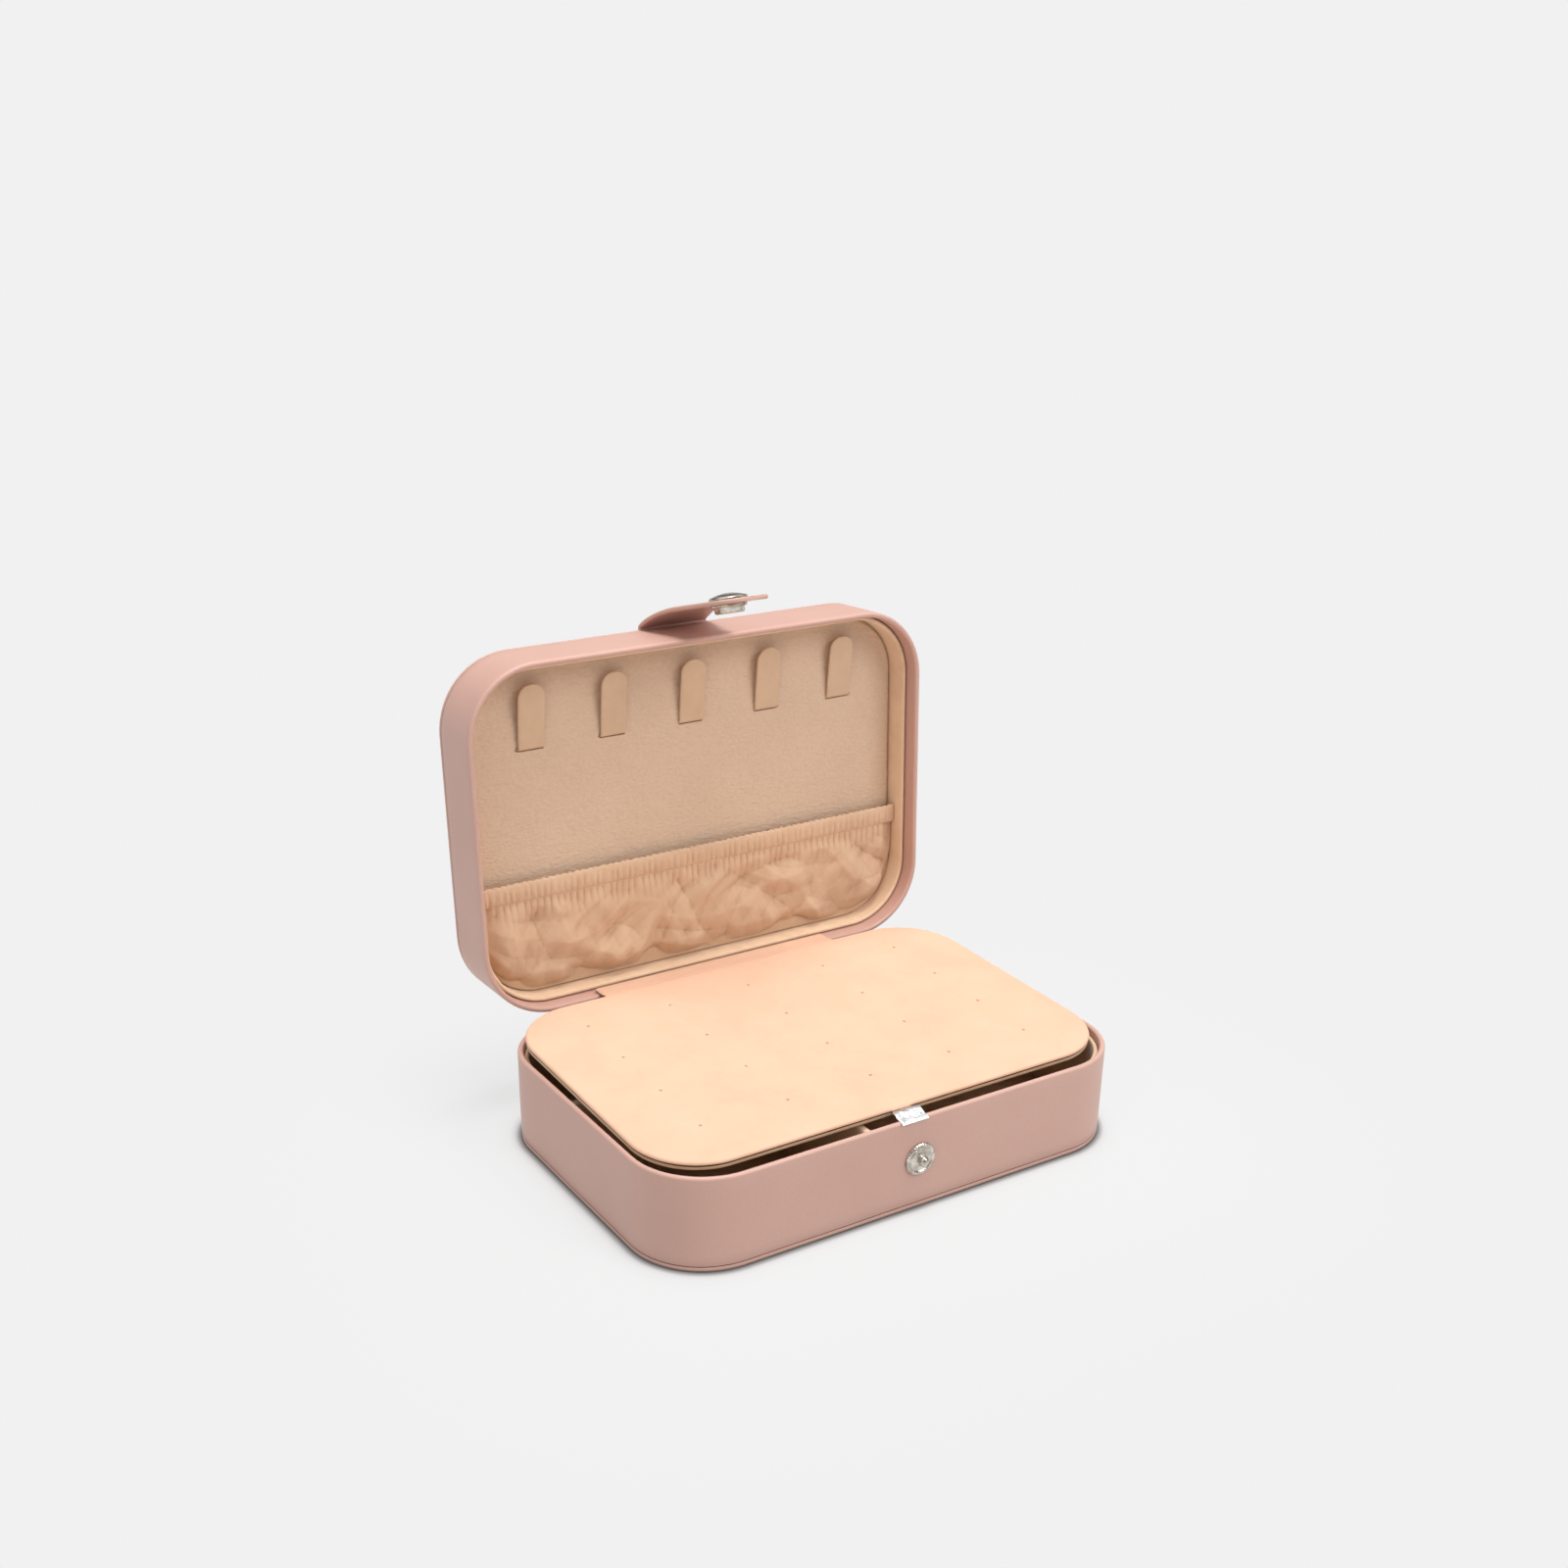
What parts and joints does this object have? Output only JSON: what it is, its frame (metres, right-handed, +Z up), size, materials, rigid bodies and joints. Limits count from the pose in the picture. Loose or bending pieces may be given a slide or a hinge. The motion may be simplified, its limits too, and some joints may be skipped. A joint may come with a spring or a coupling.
{
  "type": "jewelry box",
  "caption": "Rounded travel jewelry case with a hinged lid, an earring flap, necklace tabs, a gathered pocket and a snap strap.",
  "frame": {"origin": "centre of the base's underside", "axes": "+Z up, +X along the case's width to the right, the snap faces -Y, the lid is hinged at +Y"},
  "size_m": [0.165, 0.1441, 0.161],
  "materials": {
    "case_leather": "smooth dusty pink imitation leather, satin",
    "liner_suede": "beige velour on board, matt",
    "panel_leather": "beige imitation leather with a fine grain, matt",
    "flap_suede": "cream suede cloth, matt",
    "roll_velvet": "beige velvet over foam",
    "pocket_cloth": "thin beige cloth, gathered",
    "elastic": "woven elastic band",
    "foam": "soft sheet foam",
    "greyboard": "raw grey board",
    "nickel": "nickel plated steel, polished"
  },
  "bodies": {
    "base": {"base_wall_core": "greyboard", "base_wall_leather": "case_leather", "base_bottom_board": "greyboard", "base_bottom_leather": "case_leather", "base_liner_ring": "liner_suede", "base_floor_pad": "roll_velvet", "divider_main": "liner_suede", "divider_left": "liner_suede", "divider_right": "liner_suede", "ring_roll_card": "greyboard", "ring_roll_1": "roll_velvet", "ring_roll_2": "roll_velvet", "ring_roll_3": "roll_velvet", "ring_roll_4": "roll_velvet", "ring_roll_5": "roll_velvet", "snap_stud": "nickel", "stud_washer": "nickel", "hinge_spine": "case_leather", "flap_hinge_tape": "flap_suede"},
    "lid": {"lid_wall_core": "greyboard", "lid_wall_leather": "case_leather", "lid_top_board": "greyboard", "lid_top_leather": "case_leather", "lid_liner_ring": "liner_suede", "lid_foam": "foam", "lid_back_panel": "panel_leather", "elastic_pocket": "pocket_cloth", "pocket_elastic": "elastic", "tab_anchors": "panel_leather", "hinge_lid_strip": "case_leather", "hinge_lining": "flap_suede", "strap_anchor": "case_leather"},
    "flap": {"flap_pad": "flap_suede", "flap_core": "greyboard", "flap_board": "flap_suede", "pull_tab": "nickel"},
    "strap": {"strap_outer": "case_leather", "strap_inner": "case_leather", "snap_cap": "nickel", "snap_socket": "nickel"},
    "tab_1": {"necklace_tab_1": "panel_leather"},
    "tab_2": {"necklace_tab_2": "panel_leather"},
    "tab_3": {"necklace_tab_3": "panel_leather"},
    "tab_4": {"necklace_tab_4": "panel_leather"},
    "tab_5": {"necklace_tab_5": "panel_leather"}
  },
  "joints": [
    {"name": "lid_hinge", "type": "hinge", "parent": "base", "child": "lid", "pos_m": [0, 0.057, 0.0307], "axis": [-1, 0, 0], "range_deg": [-92.5, 0]},
    {"name": "flap_hinge", "type": "hinge", "parent": "base", "child": "flap", "pos_m": [0, 0.0533, 0.035], "axis": [-1, 0, 0], "range_deg": [0, 80]},
    {"name": "strap_hinge", "type": "hinge", "parent": "lid", "child": "strap", "pos_m": [0, 0.08405, 0.14363], "axis": [-1, 0, 0], "range_deg": [-12.5, 110]},
    {"name": "tab_1_flex", "type": "hinge", "parent": "lid", "child": "tab_1", "pos_m": [-0.0568, 0.07245, 0.1141], "axis": [1, 0, 0], "range_deg": [-6, 14], "stiffness_Nm_per_rad": 0.003},
    {"name": "tab_2_flex", "type": "hinge", "parent": "lid", "child": "tab_2", "pos_m": [-0.0284, 0.07245, 0.1141], "axis": [1, 0, 0], "range_deg": [-6, 14], "stiffness_Nm_per_rad": 0.003},
    {"name": "tab_3_flex", "type": "hinge", "parent": "lid", "child": "tab_3", "pos_m": [0, 0.07245, 0.1141], "axis": [1, 0, 0], "range_deg": [-6, 14], "stiffness_Nm_per_rad": 0.003},
    {"name": "tab_4_flex", "type": "hinge", "parent": "lid", "child": "tab_4", "pos_m": [0.0284, 0.07245, 0.1141], "axis": [1, 0, 0], "range_deg": [-6, 14], "stiffness_Nm_per_rad": 0.003},
    {"name": "tab_5_flex", "type": "hinge", "parent": "lid", "child": "tab_5", "pos_m": [0.0568, 0.07245, 0.1141], "axis": [1, 0, 0], "range_deg": [-6, 14], "stiffness_Nm_per_rad": 0.003}
  ]
}
